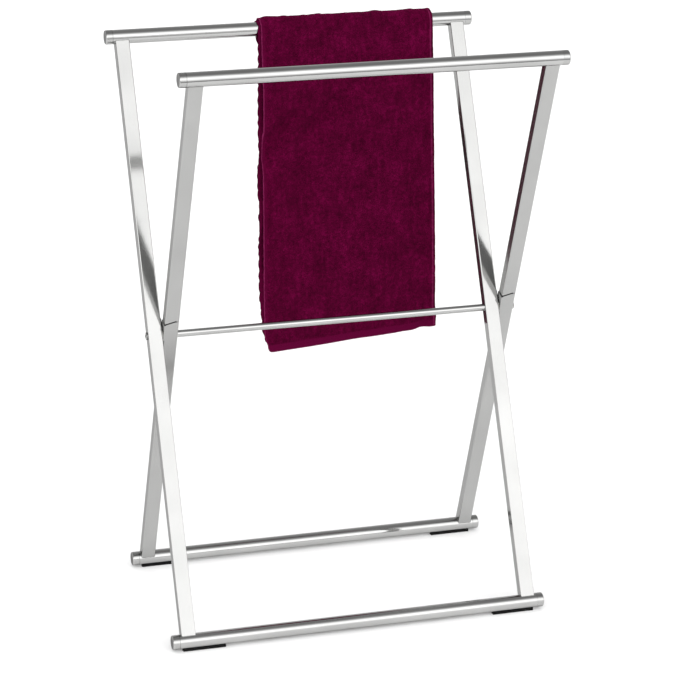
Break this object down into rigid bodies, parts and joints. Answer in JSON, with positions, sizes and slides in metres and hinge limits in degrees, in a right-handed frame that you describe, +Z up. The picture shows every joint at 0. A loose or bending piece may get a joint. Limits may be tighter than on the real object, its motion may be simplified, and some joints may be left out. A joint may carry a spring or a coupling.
{
  "type": "towel rack",
  "caption": "Free-standing folding towel rack: two crossing steel frames with round rails, a pivot rail between them and a towel hung over the rear top rail.",
  "frame": {"origin": "on the floor under the middle of the opened rack", "axes": "+X along the rails to the right, +Y from front to back, +Z up"},
  "size_m": [0.5616, 0.3573, 0.8073],
  "materials": {
    "tube_steel": "polished stainless",
    "end_cap": "polished",
    "foot_rubber": "matt black",
    "bracket_steel": "satin",
    "screw_steel": "bright",
    "inner_steel": "plain",
    "nylon": "natural",
    "terry": "cotton terry"
  },
  "bodies": {
    "frame_a": {"rear_top_rail": "tube_steel", "rear_top_cap_left": "end_cap", "rear_top_cap_right": "end_cap", "front_bottom_rail": "tube_steel", "front_bottom_cap_left": "end_cap", "front_bottom_cap_right": "end_cap", "front_foot_pad_left": "foot_rubber", "front_foot_pad_right": "foot_rubber", "frame_a_leg_left": "tube_steel", "frame_a_leg_right": "tube_steel", "crush_sleeve_left": "inner_steel", "crush_sleeve_right": "inner_steel", "leg_washer_left": "nylon", "leg_washer_right": "nylon", "middle_rail": "tube_steel", "threaded_insert_left": "inner_steel", "threaded_insert_right": "inner_steel", "middle_rail_washer": "nylon", "screw_head_washer": "nylon", "pivot_screw_left": "screw_steel", "pivot_screw_right": "screw_steel"},
    "frame_b": {"front_top_rail": "tube_steel", "front_top_cap_left": "end_cap", "front_top_cap_right": "end_cap", "rear_bottom_rail": "tube_steel", "rear_bottom_cap_left": "end_cap", "rear_bottom_cap_right": "end_cap", "rear_foot_pad_left": "foot_rubber", "rear_foot_pad_right": "foot_rubber", "frame_b_leg_left": "tube_steel", "frame_b_leg_right": "tube_steel", "stop_bracket_left": "bracket_steel", "stop_bracket_right": "bracket_steel", "pivot_bush_left": "nylon", "pivot_bush_right": "nylon"},
    "towel": {"towel": "terry"}
  },
  "joints": [
    {"name": "fold", "type": "hinge", "parent": "frame_a", "child": "frame_b", "pos_m": [0, 0, 0.4015], "axis": [-1, 0, 0], "range_deg": [0, 42]},
    {"name": "towel_lift", "type": "slide", "parent": "frame_a", "child": "towel", "axis": [0, 0, 1], "range_m": [0, 0.52]}
  ]
}
